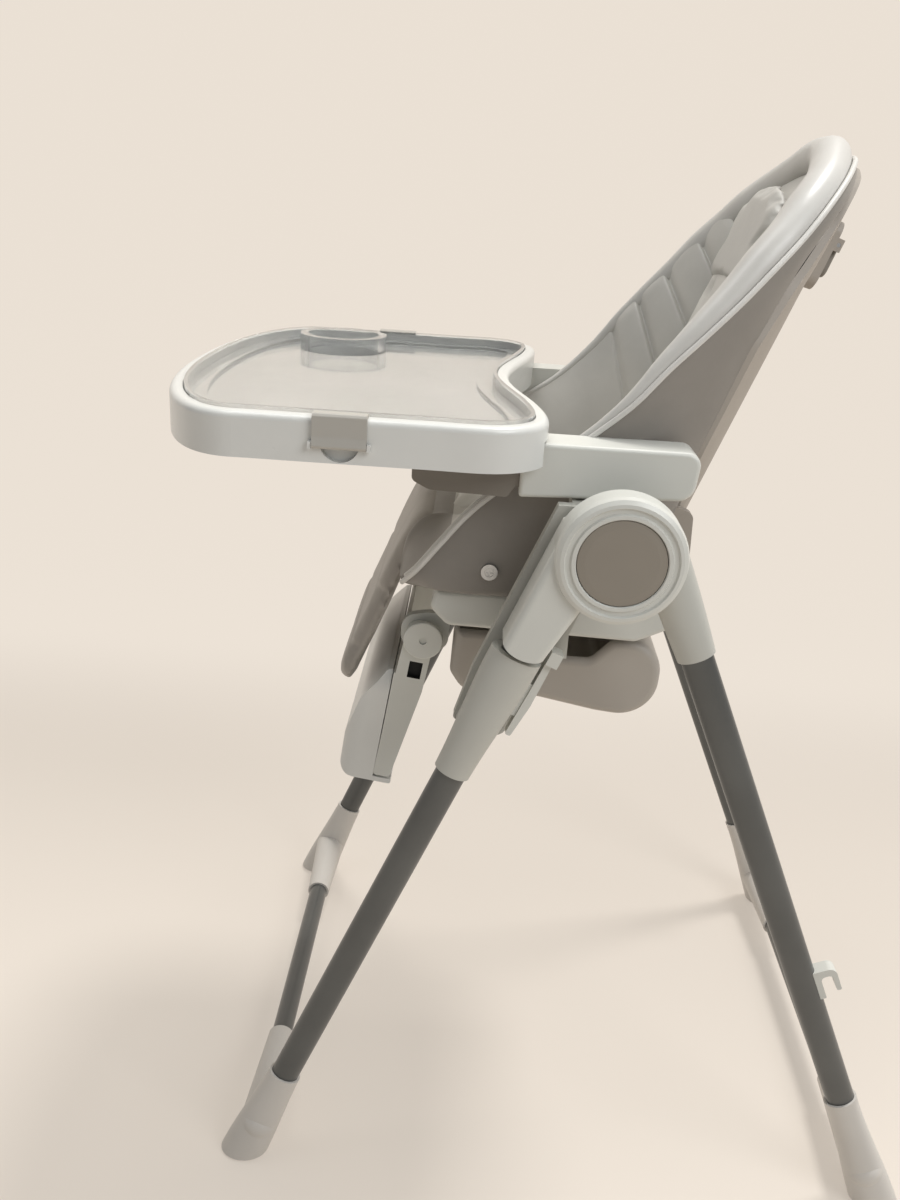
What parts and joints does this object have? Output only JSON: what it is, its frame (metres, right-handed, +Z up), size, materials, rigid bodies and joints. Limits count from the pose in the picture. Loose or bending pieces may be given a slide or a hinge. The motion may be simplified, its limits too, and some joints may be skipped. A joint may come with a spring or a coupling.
{
  "type": "baby high chair",
  "caption": "Folding high chair for a baby: A-frame legs, padded reclining bucket seat, height sliders, leg rest, tray with clear liner and storage tub.",
  "frame": {"origin": "on the floor, under the middle of the chair's bounding box", "axes": "+X to the child's left, +Y to the back of the chair, +Z up; the tray is at -Y"},
  "size_m": [0.582, 0.828, 1.0797],
  "materials": {
    "shell_plastic": "satin",
    "tray_plastic": "semi-gloss",
    "taupe_plastic": "satin",
    "clear_plastic": "clear",
    "leg_steel": "satin powder coat",
    "pin_steel": "brushed",
    "pad_rubber": "matt",
    "leatherette": "smooth coated fabric over foam",
    "webbing": "woven strap"
  },
  "bodies": {
    "front_frame": {"front_leg_tube_left": "leg_steel", "front_leg_tube_right": "leg_steel", "front_foot_left": "shell_plastic", "front_foot_right": "shell_plastic", "front_foot_pads": "pad_rubber", "front_cross_tube": "leg_steel", "hub_housing_left": "shell_plastic", "hub_housing_right": "shell_plastic", "hub_axles": "pin_steel"},
    "rear_frame": {"rear_leg_tube_left": "leg_steel", "rear_leg_tube_right": "leg_steel", "rear_leg_sleeve_left": "shell_plastic", "rear_leg_sleeve_right": "shell_plastic", "rear_foot_left": "shell_plastic", "rear_foot_right": "shell_plastic", "rear_foot_pads": "pad_rubber", "rear_cross_tube": "leg_steel", "tray_hooks": "shell_plastic"},
    "fold_button_l": {"fold_button_left": "taupe_plastic"},
    "fold_button_r": {"fold_button_right": "taupe_plastic"},
    "seat": {"seat_slider_left": "shell_plastic", "seat_slider_right": "shell_plastic", "seat_pan": "shell_plastic", "legrest_bracket_left": "shell_plastic", "legrest_bracket_right": "shell_plastic", "armrest_left": "shell_plastic", "armrest_right": "shell_plastic", "seat_cushion": "leatherette", "front_roll": "leatherette", "seat_wing_left": "leatherette", "seat_wing_right": "leatherette", "crotch_strap": "webbing", "harness_buckle": "taupe_plastic", "lap_straps": "webbing", "storage_basket": "shell_plastic", "cover_screws": "pin_steel", "pivot_pins": "pin_steel"},
    "height_lever_l": {"height_lever_left": "shell_plastic"},
    "height_lever_r": {"height_lever_right": "shell_plastic"},
    "backrest": {"back_shell": "taupe_plastic", "back_cushion": "leatherette", "head_pad": "leatherette", "back_wing_left": "leatherette", "back_wing_right": "leatherette", "recline_bezel": "shell_plastic", "lever_pin": "pin_steel"},
    "recline_handle": {"recline_lever": "taupe_plastic"},
    "legrest": {"legrest_frame": "shell_plastic", "legrest_caps": "shell_plastic"},
    "footrest": {"footrest": "shell_plastic"},
    "calf_flap": {"calf_pad": "leatherette"},
    "tray": {"tray_body": "tray_plastic", "tray_arm_left": "taupe_plastic", "tray_arm_right": "taupe_plastic", "clip_pins": "pin_steel"},
    "tray_cover": {"tray_cover": "clear_plastic"},
    "tray_release": {"tray_release": "shell_plastic"},
    "tray_clip_l": {"tray_clip_left": "taupe_plastic"},
    "tray_clip_r": {"tray_clip_right": "taupe_plastic"}
  },
  "joints": [
    {"name": "rear_fold", "type": "hinge", "parent": "front_frame", "child": "rear_frame", "pos_m": [0, 0.019, 0.735], "axis": [-1, 0, 0], "range_deg": [0, 44]},
    {"name": "fold_button_l_press", "type": "slide", "parent": "front_frame", "child": "fold_button_l", "axis": [-1, 0, 0], "range_m": [0, 0.004], "stiffness_N_per_m": 900},
    {"name": "fold_button_r_press", "type": "slide", "parent": "front_frame", "child": "fold_button_r", "axis": [1, 0, 0], "range_m": [0, 0.004], "stiffness_N_per_m": 900},
    {"name": "seat_height", "type": "slide", "parent": "front_frame", "child": "seat", "axis": [0, -0.3757, -0.9267], "range_m": [0, 0.17]},
    {"name": "height_lever_l_press", "type": "slide", "parent": "seat", "child": "height_lever_l", "axis": [0, -0.9267, 0.3757], "range_m": [0, 0.0025], "stiffness_N_per_m": 900},
    {"name": "height_lever_r_press", "type": "slide", "parent": "seat", "child": "height_lever_r", "axis": [0, -0.9267, 0.3757], "range_m": [0, 0.0025], "stiffness_N_per_m": 900},
    {"name": "back_recline", "type": "hinge", "parent": "seat", "child": "backrest", "pos_m": [0, 0.08, 0.672], "axis": [-1, 0, 0], "range_deg": [0, 35]},
    {"name": "recline_handle_pull", "type": "hinge", "parent": "backrest", "child": "recline_handle", "pos_m": [0, 0.22058, 0.98932], "axis": [1, 0, 0], "range_deg": [0, 12], "stiffness_Nm_per_rad": 0.6},
    {"name": "legrest_lift", "type": "hinge", "parent": "seat", "child": "legrest", "pos_m": [0, -0.152, 0.584], "axis": [-1, 0, 0], "range_deg": [0, 50]},
    {"name": "calf_flap_lift", "type": "hinge", "parent": "seat", "child": "calf_flap", "pos_m": [0, -0.186, 0.597], "axis": [-1, 0, 0], "range_deg": [0, 65.5]},
    {"name": "footrest_slide", "type": "slide", "parent": "legrest", "child": "footrest", "axis": [0, -0.1392, -0.9903], "range_m": [0, 0.05]},
    {"name": "tray_slide", "type": "slide", "parent": "seat", "child": "tray", "axis": [0, -1, 0], "range_m": [0, 0.1]},
    {"name": "tray_cover_lift", "type": "slide", "parent": "tray", "child": "tray_cover", "axis": [0, 0, 1], "range_m": [0, 0.1]},
    {"name": "tray_release_pull", "type": "slide", "parent": "tray", "child": "tray_release", "axis": [0, -1, 0], "range_m": [0, 0.01], "stiffness_N_per_m": 300},
    {"name": "tray_clip_l_open", "type": "hinge", "parent": "tray", "child": "tray_clip_l", "pos_m": [0.271, 0, 0.8145], "axis": [0, 1, 0], "range_deg": [0, 75]},
    {"name": "tray_clip_r_open", "type": "hinge", "parent": "tray", "child": "tray_clip_r", "pos_m": [-0.271, 0, 0.8145], "axis": [0, -1, 0], "range_deg": [0, 75]}
  ],
  "couplings": [
    {"joint": "calf_flap_lift", "follows": "legrest_lift", "ratio": 1.3}
  ]
}
